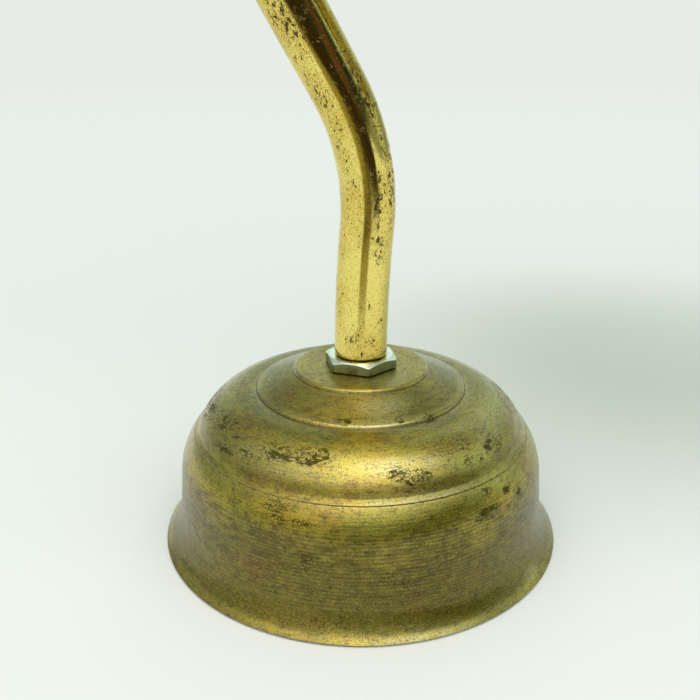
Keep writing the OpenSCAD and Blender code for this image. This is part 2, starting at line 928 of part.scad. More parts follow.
// Flat key that turns the switch
module switch_key() {
    paddle_l = key_l - key_round;
    color("#241d1a")
    on_switch()
    translate([0, 0, key_in])
    difference() {
        union() {
            cylinder(h = key_l * 0.7, d1 = key_hub_d, d2 = key_hub_d * 0.8);
            intersection() {
                translate([0, key_t / 2, 0])
                rotate([90, 0, 0])
                linear_extrude(key_t)
                union() {
                    translate([-key_w / 2, key_round]) square([key_w, paddle_l - key_round]);
                    translate([-key_w / 2 + key_round, 0]) square([key_w - 2 * key_round, key_l]);
                    for (x = [-1, 1]) {
                        for (z = [key_round, paddle_l]) {
                            translate([x * (key_w / 2 - key_round), z]) circle(r = key_round);
                        }
                    }
                }
                cylinder(h = key_l, d = key_w);
            }
        }
        translate([0, 0, -over]) cylinder(h = key_l * 0.6 + over + ease, d = spindle_d + 2 * fit);
    }
}

// Threaded sleeve of the bulb
module bulb_cap() {
    turns = floor(bulb_cap_l / bulb_pitch) - 1;
    crest = bulb_cap_d / 2;
    inner = crest - bulb_thread - cap_sleeve_t;
    first = cap_sleeve_z + (bulb_cap_l - turns * bulb_pitch) / 2;
    thread = [
        for (i = [0 : turns - 1])
        for (a = [0 : 60 : 300])
        [crest - bulb_thread * (1 + cos(a)) / 2, first + (i + a / 360) * bulb_pitch]
    ];
    color("#c9c3b0")
    on_head()
    rotate_extrude()
    polygon(concat(
        [[inner, cap_sleeve_z], [crest - bulb_thread, cap_sleeve_z]],
        thread,
        [[crest - bulb_thread, cap_sleeve_z + bulb_cap_l], [inner, cap_sleeve_z + bulb_cap_l]]
    ));
}

// Black glass cone that insulates the bulb's tip
module bulb_insulator() {
    color("#1d1d22")
    on_head()
    translate([0, 0, tip_z + tip_h])
    cylinder(h = vitrite_h, d1 = 10, d2 = bulb_cap_d - 2 * bulb_thread);
}

// Solder tip of the bulb
module bulb_contact() {
    color("#b8b4aa")
    on_head()
    translate([0, 0, tip_z])
    cylinder(h = tip_h, d1 = 6, d2 = 9);
}

// Clear glass globe
module bulb_glass() {
    join = 35;
    r = globe_d / 2;
    foot = [neck_d / 2, neck_z - neck_hold];
    neck = [neck_d / 2, neck_z];
    cheek = [r * cos(join), globe_z - r * sin(join)];
    function globe(t) = [
        for (a = [-join : 5 : 90])
        [max(0, (r - t) * cos(a)), globe_z + (r - t) * sin(a)]
    ];
    function side(t) = concat([foot - [t, 0]], arc(neck, cheek, -0.9, t, 8), globe(t));
    color("#e6e9e6", 0.35)
    on_head()
    rotate_extrude()
    polygon(concat(side(0), reversed(side(glass_t))));
}

// Glass foot and stem inside the bulb
module bulb_stem() {
    foot_d = neck_d - 2 * glass_t - 2 * ease;
    foot_z = neck_z - neck_hold;
    color("#dfe5e2", 0.5)
    on_head() {
        translate([0, 0, foot_z]) cylinder(h = stem_foot_t, d = foot_d);
        translate([0, 0, foot_z + stem_foot_t])
        cylinder(h = filament_z - foot_z - stem_foot_t, d1 = foot_d * 0.7, d2 = stem_neck_d);
    }
}

// Filament rods on their wire frame
module bulb_filament() {
    rods = 4;
    color("#e0b35a")
    on_head()
    translate([0, 0, filament_z]) {
        cylinder(h = filament_l + wire_d, d = wire_d);
        for (i = [0 : rods - 1]) {
            rotate([0, 0, i * 360 / rods]) {
                translate([filament_r, 0, 0]) cylinder(h = filament_l + wire_d, d = filament_d);
                for (z = [wire_d, filament_l]) {
                    translate([0, 0, z]) rotate([0, 90, 0]) cylinder(h = filament_r, d = wire_d);
                }
            }
        }
    }
}

wall_cup();
mounting_bar();
stem_nipple();
clamp_nut();
bar_nuts();
tooth_washer();
end_bush();
terminal_block();
terminal_sleeves();
terminal_screws();
block_screw();
earth_screw();
earth_lug();
cup_flex();
cup_cores();
arm_tube();
arm_flex();
head_nipple();
head_nut();
holder_cap();
grub_screw();
holder_insert();
holder_terminals();
holder_cores();
screw_contact();
centre_contact();
insulating_liner();
holder_shell();
upper_shade_ring();
lower_shade_ring();
shade();
switch_bush();
switch_spindle();
switch_cam();
switch_key();
bulb_cap();
bulb_insulator();
bulb_contact();
bulb_glass();
bulb_stem();
bulb_filament();
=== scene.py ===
"""Gooseneck wall lamp in brass: a spun wall cup, a nut, a bent tube arm and a bell shade."""

import math

import bmesh
import bpy
from mathutils import Matrix, Vector


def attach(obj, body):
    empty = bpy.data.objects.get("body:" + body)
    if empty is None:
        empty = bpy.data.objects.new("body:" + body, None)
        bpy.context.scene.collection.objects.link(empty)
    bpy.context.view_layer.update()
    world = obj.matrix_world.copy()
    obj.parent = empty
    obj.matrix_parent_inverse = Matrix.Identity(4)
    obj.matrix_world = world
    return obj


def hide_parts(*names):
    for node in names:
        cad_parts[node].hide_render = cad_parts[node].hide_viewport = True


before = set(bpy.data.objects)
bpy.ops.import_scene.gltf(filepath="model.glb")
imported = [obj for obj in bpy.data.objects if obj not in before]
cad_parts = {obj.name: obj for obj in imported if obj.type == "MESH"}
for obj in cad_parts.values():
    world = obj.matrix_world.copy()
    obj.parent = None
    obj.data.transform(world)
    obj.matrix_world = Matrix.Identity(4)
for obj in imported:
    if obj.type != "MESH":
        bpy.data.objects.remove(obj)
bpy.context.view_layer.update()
mm = 0.001

# Camera
# A normal lens close to the lamp, turned a little off the arm's plane and tipped down on the cup.
eye_from = Vector((-2.4, -194.3, 122.5)) * mm
eye_turn = math.radians(-12)
eye_dip = math.radians(21)
eye_lens = 43.7
eye = bpy.data.objects.new("eye", bpy.data.cameras.new("eye"))
eye.data.lens = eye_lens
eye.data.shift_x = -0.0014
eye.data.clip_start = 10 * mm
eye.location = Matrix.Rotation(eye_turn, 3, "Z") @ eye_from
eye.rotation_euler = (math.pi / 2 - eye_dip, 0, eye_turn)
bpy.context.scene.collection.objects.link(eye)
bpy.context.scene.camera = eye


# Zinc-plated fixings
# The folded strap on the wall, its toothed washer, the terminal block's screw and the earth tag, and in the
# head the grub screw and the switch's spindle. Steel under bright zinc, dulled to a patchy grey.
class Tap:
    """An output of a shader tree. Arithmetic between taps adds Math nodes to the tree."""

    def __init__(self, tree, socket=None):
        self.tree = tree
        self.socket = socket

    def add(self, kind, settings=None, sockets=None, out=None):
        """A new node: its settings first, then the values or links of its sockets."""
        node = self.tree.nodes.new("ShaderNode" + kind)
        for name, value in (settings or {}).items():
            if name == "stops":
                while len(node.color_ramp.elements) < len(value):
                    node.color_ramp.elements.new(1)
                for stop, (place, level) in zip(node.color_ramp.elements, value):
                    stop.position = place
                    stop.color = (level, level, level, 1)
            else:
                setattr(node, name, value)
        for name, value in (sockets or {}).items():
            found = [s for s in node.inputs if s.enabled and s.name == name]
            socket = node.inputs[name] if isinstance(name, int) else found[0]
            if isinstance(value, Tap):
                self.tree.links.new(value.socket, socket)
            else:
                socket.default_value = value
        shown = {s.name: s for s in node.outputs if s.enabled}
        return Tap(self.tree, shown.get(out) if out else next(iter(shown.values()), None))

    def maths(self, operation, *values):
        return self.add("Math", {"operation": operation}, dict(enumerate(values)))

    def __add__(self, other):
        return self.maths("ADD", self, other)

    def __radd__(self, other):
        return self.maths("ADD", other, self)

    def __sub__(self, other):
        return self.maths("SUBTRACT", self, other)

    def __rsub__(self, other):
        return self.maths("SUBTRACT", other, self)

    def __mul__(self, other):
        return self.maths("MULTIPLY", self, other)

    def __rmul__(self, other):
        return self.maths("MULTIPLY", other, self)

    def __truediv__(self, other):
        return self.maths("DIVIDE", self, other)


def tone(text):
    """A written colour, such as #8f7a3c, as the linear colour that a shader takes."""
    parts = [int(text[i : i + 2], 16) / 255 for i in (1, 3, 5)]
    return tuple(((c + 0.055) / 1.055) ** 2.4 if c > 0.04 else c / 12.92 for c in parts) + (1,)


def rise(value, low, high):
    """0 below low and 1 above high, with a smooth step between."""
    return value.add(
        "MapRange",
        {"interpolation_type": "SMOOTHSTEP"},
        {"Value": value, "From Min": low, "From Max": high},
    )


def drift(where, scale, detail=2.0, rough=0.5):
    """Cloudy values about 0.5, with a size of about 1 / scale."""
    sockets = {"Vector": where, "Scale": scale, "Detail": detail, "Roughness": rough}
    return where.add("TexNoise", {}, sockets)


def stretched(where, x, y, z):
    """The same place with its axes scaled, so that a pattern comes out longer or shorter."""
    return where.add("VectorMath", {"operation": "MULTIPLY"}, {0: where, 1: (x, y, z)})


def blend(share, first, second):
    """The first colour where share is 0, and the second where it is 1."""
    return share.add("Mix", {"data_type": "RGBA"}, {"Factor": share, "A": first, "B": second})


def relief(height, depth, normal=None):
    """A normal that tips with a height of 0 to 1 over that depth in metres."""
    sockets = {"Height": height, "Distance": depth, "Strength": 1.0}
    if normal is not None:
        sockets["Normal"] = normal
    return height.add("Bump", {}, sockets)


def new_finish(name):
    """An empty material and the tap that starts its tree."""
    material = bpy.data.materials.new(name)
    material.use_nodes = True
    material.node_tree.nodes.clear()
    return material, Tap(material.node_tree)


def lay(start, sockets):
    """Puts a Principled shader with these sockets on the material's surface."""
    surface = start.add("BsdfPrincipled", {}, sockets)
    start.add("OutputMaterial", {}, {"Surface": surface})


def place_in_mm(start):
    """The place on the piece, in millimetres of the lamp's frame."""
    where = start.add("TexCoord", {}, {}, "Object")
    return stretched(where, 1000, 1000, 1000)


def dress(material, *nodes):
    """Gives a finish to carried-over solids."""
    for node in nodes:
        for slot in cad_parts[node].material_slots:
            slot.material = material


def zinc_plate(name, colour, dull, rough):
    material, start = new_finish(name)
    where = place_in_mm(start)
    cloud = drift(where, 0.35, 4)
    grain = drift(where, 6.0, 3)
    stain = rise(cloud, 0.5, 0.72)
    lay(start, {
        "Base Color": blend(stain, tone(colour), tone(dull)),
        "Metallic": 1.0,
        "Roughness": rough + 0.12 * stain + 0.1 * grain,
        "Normal": relief(grain, 0.02 * mm),
    })
    return material


zinc = zinc_plate("zinc", "#d5d9da", "#a4aaa9", 0.24)
dress(
    zinc, "mounting_bar", "tooth_washer", "block_screw", "earth_lug", "grub_screw",
    "switch_spindle",
)


# Turned brass parts
# The hollow stem and the head nipple, the terminals, the bush of the switch and the threaded contact:
# bar brass, left as turned, with fine tool marks round each piece.
def turned_brass(name):
    material, start = new_finish(name)
    where = place_in_mm(start)
    cloud = drift(where, 0.5, 4)
    marks = drift(stretched(where, 1, 1, 9), 2.0, 2)
    dark = rise(cloud, 0.52, 0.75)
    lay(start, {
        "Base Color": blend(dark, tone("#d2b265"), tone("#8a6a32")),
        "Metallic": 1.0,
        "Roughness": 0.26 + 0.18 * dark + 0.08 * marks,
        "Normal": relief(marks, 0.02 * mm),
    })
    return material


plain_brass = turned_brass("plain_brass")
dress(
    plain_brass, "stem_nipple", "head_nipple", "terminal_sleeves", "terminal_screws", "earth_screw",
    "holder_terminals", "screw_contact", "switch_bush", "centre_contact",
)


# Porcelain block and insert
# White glazed porcelain, pressed and fired: the terminal block on the bar and the lampholder's insert.
def glazed(name):
    material, start = new_finish(name)
    where = place_in_mm(start)
    cloud = drift(where, 0.2, 3)
    speck = rise(drift(where, 2.5, 2), 0.7, 0.74)
    body = blend(cloud, tone("#f1eee5"), tone("#e2dccb"))
    lay(start, {
        "Base Color": blend(speck, body, tone("#8f8470")),
        "Roughness": 0.16 + 0.1 * cloud,
        "Normal": relief(cloud, 0.15 * mm),
    })
    return material


dress(glazed("glaze"), "terminal_block", "holder_insert")


# Plastics, flex and fibre
# The end bush and the switch cam in pale moulded plastic, the round black flex, its coloured cores and
# the red fibre sleeve in the lampholder. None of them carries load.
def moulded(name, colour, worn, rough):
    material, start = new_finish(name)
    where = place_in_mm(start)
    cloud = drift(where, 0.4, 4)
    grain = drift(where, 9.0, 2)
    lay(start, {
        "Base Color": blend(rise(cloud, 0.4, 0.7), tone(colour), tone(worn)),
        "Roughness": rough + 0.15 * grain,
        "Normal": relief(grain, 0.03 * mm),
    })
    return material


dress(moulded("pale_plastic", "#e6e1d2", "#d3cab2", 0.4), "end_bush", "switch_cam")
dress(moulded("flex_sheath", "#2c2c2e", "#3a393a", 0.5), "cup_flex", "arm_flex")
dress(moulded("core_insulation", "#7a4a2b", "#6a3d22", 0.35), "cup_cores", "holder_cores")
dress(moulded("fibre", "#9a4a2e", "#7d3a24", 0.6), "insulating_liner")


# Wall cup
# The cover over the fixing: thin brass sheet spun in steps over a former, with a flared rim that meets the
# wall. Its lacquer is gone, so it is dull olive on the wall, golden on the rolls and darker in the creases.
# Its pale high spots are partly wear and partly painted highlight, and a shadow is painted along the foot of
# its rim.
sheet = 0.8 * mm


def point(r, z):
    return Vector((r, z)) * mm


def arc(p, q, bow, steps=24):
    """Points after p and up to q, on an arc that bulges by bow to the right of the way."""
    chord = q - p
    side = Vector((chord.y, -chord.x)).normalized()
    radius = (chord.length_squared / 4 + bow * bow) / (2 * abs(bow))
    turn = math.copysign(2 * math.asin(chord.length / 2 / radius), bow)
    centre = (p + q) / 2 + side * (bow - math.copysign(radius, bow))
    return [centre + Matrix.Rotation(turn * i / steps, 2) @ (p - centre) for i in range(1, steps + 1)]


def relaxed(points, radius):
    """The outline with a small radius in each crease, and with points only where it turns."""
    steps_to_radius = 5
    least_turn = math.radians(4)
    widest_gap = 1.5 * mm
    spacing = radius / steps_to_radius
    fine = [points[0]]
    for p, q in zip(points, points[1:]):
        count = max(1, round((q - p).length / spacing))
        fine += [p.lerp(q, i / count) for i in range(1, count + 1)]
    soft = []
    for i in range(len(fine)):
        reach = min(steps_to_radius, i, len(fine) - 1 - i)
        near = fine[i - reach : i + reach + 1]
        soft.append(sum(near, Vector((0, 0))) / len(near))
    kept = [soft[0]]
    way = soft[1] - soft[0]
    for p, q in zip(soft[1:], soft[2:]):
        turned_by = abs(way.angle_signed(q - p, 0))
        if turned_by > least_turn or (p - kept[-1]).length > widest_gap:
            kept.append(p)
            way = q - p
    return kept + [soft[-1]]


def inset(points, depth):
    """The outline moved to the left of its way."""
    moved = []
    for i, p in enumerate(points):
        way = points[min(i + 1, len(points) - 1)] - points[max(i - 1, 0)]
        moved.append(p + Vector((-way.y, way.x)).normalized() * depth)
    return moved


def engraved(points, height, width, depth):
    """The outline with a fine groove cut at that height, which it passes once on its way up."""
    before = [p for p in points if p.y < height][-1]
    after = points[points.index(before) + 1]
    middle = before.lerp(after, (height - before.y) / (after.y - before.y))
    along = (after - before).normalized()
    inward = Vector((-along.y, along.x))
    lips = [middle + along * width * share for share in (-1, -0.5, 0.5, 1)]
    groove = lips[:2] + [middle + inward * depth] + lips[2:]
    clear = [p for p in points if (p - middle).length > 1.5 * width]
    first_after = next(i for i, p in enumerate(clear) if p.y > height)
    return clear[:first_after] + groove + clear[first_after:]


def show(name, mesh, crease):
    """Links a mesh as a smooth piece, with sharp edges where its faces meet at more than the crease."""
    mesh.shade_smooth()
    mesh.set_sharp_from_angle(angle=math.radians(crease))
    piece = bpy.data.objects.new(name, mesh)
    bpy.context.scene.collection.objects.link(piece)
    return piece


def turned(name, outline_at, place=Matrix(), steps=192, crease=40):
    """A closed outline of radius and height, given for each angle, turned about its axis and set in place.
    The mesh keeps each point's place laid out, its way along the outline in place of its height, and how
    sharply the outline bends there."""
    least_span = 0.05 * mm
    weld = 0.001 * mm
    angles = [math.tau * i / steps for i in range(steps)]
    points = []
    laid_out = []
    bends = []
    for angle in angles:
        outline = outline_at(angle)
        gone = 0
        for before, p, after in zip(outline[-1:] + outline, outline, outline[1:] + outline[:1]):
            span = max(((p - before).length + (after - p).length) / 2, least_span)
            bends.append(-(p - before).angle_signed(after - p, 0) / (span / mm))
            points.append(Matrix.Rotation(angle, 3, "Z") @ Vector((p.x, 0, p.y)))
            laid_out += [points[-1].x / mm, points[-1].y / mm, gone / mm]
            gone += (after - p).length
    count = len(points) // steps
    faces = [
        (
            i * count + j,
            (i + 1) % steps * count + j,
            (i + 1) % steps * count + (j + 1) % count,
            i * count + (j + 1) % count,
        )
        for i in range(steps)
        for j in range(count)
    ]
    mesh = bpy.data.meshes.new(name)
    mesh.from_pydata(points, [], faces)
    mesh.attributes.new("laid_out", "FLOAT_VECTOR", "POINT").data.foreach_set("vector", laid_out)
    mesh.attributes.new("bend", "FLOAT", "POINT").data.foreach_set("value", bends)
    work = bmesh.new()
    work.from_mesh(mesh)
    bmesh.ops.remove_doubles(work, verts=work.verts, dist=weld)
    bmesh.ops.recalc_face_normals(work, faces=work.faces)
    work.to_mesh(mesh)
    work.free()
    mesh.transform(place)
    return show(name, mesh, crease)


rim_back = point(48.8, 0)
rim_foot = point(49.5, 0)
rim = point(50, 0.5)
foot = point(45.8, 9)
shoulder = point(45, 19.6)
groove = point(40.2, 29.9)
brow = point(38.1, 33.4)
step = point(25.7, 38.8)
step_top = point(24.8, 39.8)
crown = point(16.5, 43.4)
crown_top = point(15.6, 44.3)
crown_hole = point(5.25, 44.3)
crease_r = 0.3 * mm
off_wall = 0.2 * mm
line_at = 28.8 * mm
line_half_w = 0.28 * mm
line_depth = 0.1 * mm
cup_side = relaxed(
    [rim]
    + arc(rim, foot, -0.95 * mm)
    + [shoulder]
    + arc(shoulder, groove, 1.05 * mm)
    + arc(groove, brow, 0.18 * mm, 6)
    + arc(brow, step, 1.6 * mm, 40)
    + arc(step, step_top, 0.27 * mm, 8)
    + [crown]
    + arc(crown, crown_top, 0.27 * mm, 8)
    + [crown_hole],
    crease_r,
)
cup_inside = [p for p in inset(cup_side, sheet) if p.y > off_wall]
cup_outside = engraved(cup_side, line_at, line_half_w, line_depth)
cup_outline = [rim_foot] + cup_outside + cup_inside[::-1] + [rim_back]
wall_cup = turned("wall_cup_spun", lambda angle: cup_outline, steps=360)


def spotted(mesh, name, spots):
    """Marks places on the piece, where age has left its mark or where a highlight is painted. A spot is an
    angle from the -Y side, a way along the piece, its half length around, its half width along and its
    strength."""
    values = []
    for item in mesh.attributes["laid_out"].data:
        x, y, way = item.vector
        radius = math.hypot(x, y)
        angle = math.degrees(math.atan2(x, -y))
        share = 0
        for spot_angle, spot_way, length, width, strength in spots:
            around = math.radians((angle - spot_angle + 180) % 360 - 180) * radius / length
            off = math.hypot(around, (way - spot_way) / width)
            share = max(share, strength * max(0, 1 - off * off))
        values.append(share)
    mesh.attributes.new(name, "FLOAT", "POINT").data.foreach_set("value", values)


cup_spots = [
    (-72, 40.7, 9, 2.2, 0.9), (-66, 36, 5, 1.2, 0.9), (-54, 37, 4.5, 1, 1), (-44, 40.2, 5.5, 2.2, 1),
    (-30, 41.3, 4.5, 2.6, 1), (-22, 52.6, 2, 1.2, 0.9), (-39, 26.6, 2, 0.6, 0.9), (-31, 26.7, 5, 1, 1),
    (-27, 18.4, 1.2, 2, 1), (-38, 29.3, 4, 1, 0.7), (8, 52.2, 1.2, 0.8, 1), (25, 51.1, 2, 1.2, 1),
    (28, 41.3, 3, 2, 0.9), (41, 37.9, 4.5, 2, 1), (25, 36.9, 1, 1.6, 1), (31, 36, 1, 0.6, 1),
    (0, 37.6, 3, 1.6, 0.9), (6, 36, 3.5, 2, 1), (3, 35, 1.2, 1, 1), (28, 29, 2, 1.4, 0.9),
    (41, 25.6, 2.5, 1.4, 0.9), (26, 25.2, 5, 1.6, 1), (36, 27.6, 1.2, 0.6, 1), (0, 14, 9, 6, 0.1),
    (-100, 38, 12, 4, 0.7), (80, 39, 10, 4, 0.7), (120, 36, 8, 3, 0.8), (160, 26, 9, 3, 0.8),
    (-150, 40, 8, 4, 0.8), (-120, 24, 9, 3, 0.6), (75, 15, 8, 5, 0.5), (-170, 14, 10, 6, 0.5),
]
# Pale spots on the cup: partly wear on its high spots, partly painted highlights where it should shine.
cup_wear_and_highlights = [
    (42, 42.5, 24, 5, 1), (-45, 38, 14, 4, 0.5), (-12, 28, 16, 3, 0.1), (2, 39.5, 13, 2.6, 0.8),
    (0, 51.5, 14, 1.6, 0.9), (2, 57, 9, 4, 0.9), (6, 66, 9, 3.4, 0.6), (6, 1.2, 16, 1.4, 0.9),
    (44, 3.4, 5, 1.6, 1), (6, 32, 18, 1.2, 0.9), (-135, 42, 20, 5, 0.7), (150, 40, 24, 5, 0.7),
]
spotted(wall_cup.data, "pitted", cup_spots)
spotted(wall_cup.data, "rubbed", cup_wear_and_highlights)


def spun_brass(name, length, zones, line_pitch):
    """Dull spun brass. A zone is a way along the outline, how far the polish is gone there, how far the high
    spots are rubbed pale or painted with a pale highlight, how strongly the spinning lines show and how rough
    the metal is. The start of the outline is painted dark as shadow, and concave creases are darkened."""
    material, start = new_finish(name)
    where = start.add("Attribute", {"attribute_name": "laid_out"}, {}, "Vector")
    along = start.add("SeparateXYZ", {}, {"Vector": where}, "Z")
    bend = start.add("Attribute", {"attribute_name": "bend"}, {}, "Fac")
    pitted = start.add("Attribute", {"attribute_name": "pitted"}, {}, "Fac")
    share = along / length
    tarnish, wear_and_highlight_zones, tooled, rough = [
        start.add("ValToRGB", {"stops": [(zone[0] / length, zone[k]) for zone in zones]}, {"Fac": share})
        for k in (1, 2, 3, 4)
    ]
    cloud = drift(where, 0.06, 4, 0.6)
    warm = drift(where, 0.1, 3, 0.6)
    mottle = drift(stretched(where, 1, 1, 1.7), 0.4, 5, 0.65)
    grain = drift(stretched(where, 1, 1, 1.5), 3.6, 4, 0.75)
    streaks = drift(stretched(where, 0.16, 0.16, 2.4), 1.6, 4, 0.7)
    hairs = drift(stretched(where, 0.7, 0.7, 1.5), 1.0, 3, 0.6)
    wander = drift(stretched(where, 0.06, 0.06, 0.6), 1.0, 2)
    turns = along / line_pitch + 1.2 * wander
    ridge = turns.maths("SINE", turns * math.tau)
    lines = rise(ridge, -0.1, 0.9) * tooled * rise(mottle, 0.2, 0.5)
    dull = rise(tarnish + 1.1 * (cloud - 0.5) + 0.6 * (mottle - 0.5) + 0.4 * (streaks - 0.5), 0.1, 0.9)
    blotch = drift(stretched(where, 0.5, 0.5, 1.5), 0.42, 5, 0.7)
    blots = rise(blotch + 0.1 * pitted, 0.6, 0.62) * rise(grain, 0.34, 0.46)
    cracks = 1 - rise(hairs.maths("ABSOLUTE", hairs - 0.5), 0.014, 0.042)
    specks = rise(drift(where, 1.3, 3, 0.6) + 0.1 * pitted, 0.67, 0.71)
    scars = blots.maths("MAXIMUM", blots, 0.85 * cracks) * rise(pitted, 0.02, 0.2)
    pits = scars.maths("MAXIMUM", scars, specks)
    crazed = cracks * rise(mottle, 0.44, 0.58)
    # Painted shadow: the first stretch of the outline, which on the cup is the rim's foot at the table, is
    # darkened. The concave creases are darkened too.
    painted_rim_shadow = 1 - rise(along, 0.35, 0.9)
    rim_shadow_and_dark_creases = painted_rim_shadow.maths("MAXIMUM", painted_rim_shadow, rise(0 - bend, 0.5, 1.8))
    # Pale spots from the zones and the piece's own spots: partly wear, partly painted highlight.
    wear_and_highlight_spots = start.add("Attribute", {"attribute_name": "rubbed"}, {}, "Fac")
    rubbed = (wear_and_highlight_zones + wear_and_highlight_spots) * rise(mottle, 0.28, 0.55)
    bright = blend(rise(warm, 0.42, 0.62), tone("#bcac3c"), tone("#c4a834"))
    metal = blend(dull, bright, tone("#776c24"))
    browned = blend(rise(warm + 0.4 * (mottle - 0.5), 0.56, 0.7) * 0.55, metal, tone("#8f5f2a"))
    # Paler where worn or painted with a highlight.
    worn = blend(rubbed * 0.6, browned, tone("#ddd39c"))
    flecked = blend(0.6 - 0.6 * rise(grain, 0.36, 0.5), worn, tone("#cdbb58"))
    grainy = blend(rise(grain, 0.48, 0.62) * 0.62, flecked, tone("#463f17"))
    streaked = blend(rise(streaks, 0.5, 0.66) * (0.2 + 0.35 * tooled), grainy, tone("#4f4619"))
    clouded = blend(rise(mottle + 0.4 * (cloud - 0.5), 0.5, 0.64) * tooled * 0.3, streaked, tone("#41391a"))
    lined = blend(lines * 0.46, clouded, tone("#433b17"))
    cracked = blend(crazed * 0.65, lined, tone("#3a3212"))
    darkened_rim_and_creases = blend(rim_shadow_and_dark_creases * 0.7, cracked, tone("#3b3014"))
    lay(start, {
        "Base Color": blend(pits * 0.8, darkened_rim_and_creases, tone("#2c250f")),
        "Metallic": 1.0,
        "Roughness": rough + 0.1 * (dull - 0.5) + 0.2 * pits,
        "Coat Weight": 0.5 * (1 - pits),
        "Coat Roughness": 0.16,
        "Normal": relief(1 - pits, 0.08 * mm, relief(0.6 * grain - 0.5 * lines, 0.06 * mm)),
    })
    return material


cup_zones = [
    (0, 0.8, 0, 0, 0.4), (0.9, 0.5, 0.3, 0, 0.26), (2.2, 0.5, 0.3, 0, 0.26), (3.2, 0.85, 0, 0, 0.3),
    (5, 0.95, 0, 0.1, 0.32), (9, 0.85, 0, 0.7, 0.4), (17, 0.85, 0, 1, 0.4), (24, 0.6, 0, 0.9, 0.34),
    (27.5, 0.15, 0, 0.3, 0.3), (31, 0.35, 0.4, 0, 0.28), (32.6, 0.4, 0.2, 0, 0.28),
    (34, 0.65, 0, 0, 0.32), (36.5, 0.35, 0.4, 0.1, 0.28), (39.5, 0.3, 0.3, 0.1, 0.28),
    (43, 0.35, 0.1, 0.1, 0.3), (47, 0.6, 0, 0, 0.32), (49.5, 0.7, 0, 0, 0.34), (51.5, 0.45, 0.5, 0, 0.3),
    (53.5, 0.65, 0, 0, 0.32), (60.5, 0.65, 0.1, 0, 0.34), (62, 0.4, 0.5, 0, 0.32), (63, 0.4, 0, 0, 0.45),
    (73, 0.4, 0, 0, 0.5),
]
cup_laid_out = 146
cup_line_pitch = 0.88
cup_brass = spun_brass("cup_brass", cup_laid_out, cup_zones, cup_line_pitch)
wall_cup.data.materials.append(cup_brass)
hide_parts("wall_cup")
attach(wall_cup, "wall_base")


# Hex nuts
# Flat lamp nuts, stamped from bright zinc-plated steel and chamfered on the upper face: one on the crown,
# which holds the cup down, two on the bar, and one that locks the lampholder.
nut_half = 8 * mm
nut_h = 3 * mm
nut_face = 0.97 * nut_half
nut_bore = 5.05 * mm
nut_mouth = 0.5 * mm
nut_ease = 0.08 * mm
nut_foot_ease = 0.35 * mm
nut_corner_ease = 0.18 * mm
nut_corner_reach = 1.5
nut_chamfer = math.radians(30)
nut_tilt = 0.3
lower_nut_seat = 16.2 * mm
upper_nut_seat = 22 * mm


def nut_outline(angle):
    off = (angle + math.pi / 6) % (math.pi / 3) - math.pi / 6
    to_corner = math.degrees(math.pi / 6 - abs(off))
    side = nut_half / math.cos(off) - nut_corner_ease * math.exp(-((to_corner / nut_corner_reach) ** 2))
    shelf = nut_h - max(0, side - nut_face) * math.tan(nut_chamfer)
    return [
        Vector((nut_bore, nut_mouth)),
        Vector((nut_bore + nut_mouth, 0)),
        Vector((side - nut_foot_ease, 0)),
        Vector((side, nut_foot_ease)),
        Vector((side, shelf - nut_ease)),
        Vector((side - nut_ease, shelf + nut_ease / 2)),
        Vector((nut_face, nut_h)),
        Vector((nut_bore + nut_mouth, nut_h)),
        Vector((nut_bore, nut_h - nut_mouth)),
    ]


def hex_nut(name, place):
    """A nut in place: top faces bright and painted lit, sheared sides duller and partly painted shade, foot
    painted shadow.
    """
    piece = turned(name, nut_outline, place, steps=240, crease=20)
    for finish in (zinc_top_bright_and_lit, zinc_side_sheared_and_shaded, zinc_foot_painted_shadow):
        piece.data.materials.append(finish)
    axis = place.to_3x3().col[2]
    for face in piece.data.polygons:
        upward = face.normal.dot(axis)
        face.material_index = 0 if upward > nut_tilt else 1 if upward > -nut_tilt else 2
    return piece


# Three zincs by the way a face points: the top painted lit, the sides partly painted shade, the foot painted
# shadow.
zinc_top_bright_and_lit = zinc_plate("zinc_top_bright_and_lit", "#e9efe6", "#c2cbbc", 0.12)
zinc_side_sheared_and_shaded = zinc_plate("zinc_side_sheared_and_shaded", "#98a48f", "#6f7a66", 0.16)
zinc_foot_painted_shadow = zinc_plate("zinc_foot_painted_shadow", "#4a4c40", "#33342b", 0.4)
clamp_nut = hex_nut("clamp_nut_hex", Matrix.Translation((0, 0, crown_top.y)))
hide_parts("clamp_nut")
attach(clamp_nut, "wall_base")
lower_bar_nut = hex_nut("lower_bar_nut", Matrix.Translation((0, 0, lower_nut_seat)))
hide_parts("bar_nuts")
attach(lower_bar_nut, "wall_base")
upper_bar_nut = hex_nut("upper_bar_nut", Matrix.Translation((0, 0, upper_nut_seat)))
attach(upper_bar_nut, "wall_base")


# Arm
# One length of bright brass tube, tapped at both ends and bent cold round a former, so it is a little oval
# in the bends. Age has left small dark pits along it.
tube_r = 6.5 * mm
tube_bore_r = 5.05 * mm
arm_start = Vector((0, 0, 47.6)) * mm
arm_stretches = [
    (0, 352 * mm, -5), (0, 55 * mm, 34.5), (36 * mm, 0, 0),
    (0, 50 * mm, -119.5), (14 * mm, 0, 0),
]


def arm_stations(stretches, start):
    """Places along the arm: the point, the heading from +Z towards -X, the way gone and the bend."""
    spacing = 1.6 * mm
    stations = [(start.copy(), 0.0, 0.0, 0.0)]
    for length, radius, angle in stretches:
        run = length or radius * math.radians(abs(angle))
        count = max(2, round(run / spacing))
        for _ in range(count):
            at, heading, gone, _bent = stations[-1]
            turn = math.radians(angle) / count
            middle = heading + turn / 2
            chord = run / count if not radius else 2 * radius * math.sin(abs(turn) / 2)
            ahead = Vector((-math.sin(middle), 0, math.cos(middle)))
            stations.append((at + ahead * chord, heading + turn, gone + run / count, 1.0 if radius else 0.0))
    return stations


